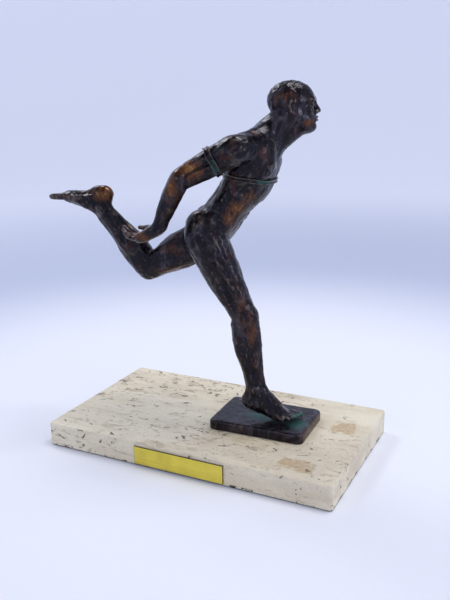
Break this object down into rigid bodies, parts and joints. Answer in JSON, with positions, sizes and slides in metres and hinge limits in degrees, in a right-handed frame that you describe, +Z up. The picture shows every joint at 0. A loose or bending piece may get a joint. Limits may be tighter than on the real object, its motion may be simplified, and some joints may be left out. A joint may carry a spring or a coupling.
{
  "type": "figure trophy",
  "caption": "Tabletop award: a bronze runner breasting the finishing tape, cast in sections, bolted through a travertine base.",
  "frame": {"origin": "centre of the felt's underside, where the trophy rests", "axes": "+Z up; +X the way the runner runs, along the stone's long side; the name plate is on the -Y side"},
  "size_m": [0.3086, 0.1714, 0.3524],
  "materials": {
    "travertine": "honed",
    "felt": "matte",
    "plate_brass": "polished",
    "adhesive": "matte",
    "bronze": "dark waxed patina",
    "steel": "plain"
  },
  "bodies": {
    "root": {"travertine_base": "travertine", "base_felt": "felt", "name_plate": "plate_brass", "plate_adhesive": "adhesive", "plinth": "bronze", "torso": "bronze", "head": "bronze", "right_arm": "bronze", "left_arm": "bronze", "right_leg": "bronze", "left_leg": "bronze", "tape_chest": "bronze", "tape_right_loop": "bronze", "tape_left_loop": "bronze", "neck_dowel": "bronze", "right_shoulder_dowel": "bronze", "left_shoulder_dowel": "bronze", "right_hip_dowel": "bronze", "left_hip_dowel": "bronze", "stud_left": "steel", "stud_right": "steel", "washer_left": "steel", "washer_right": "steel", "nut_left": "steel", "nut_right": "steel"}
  },
  "joints": []
}
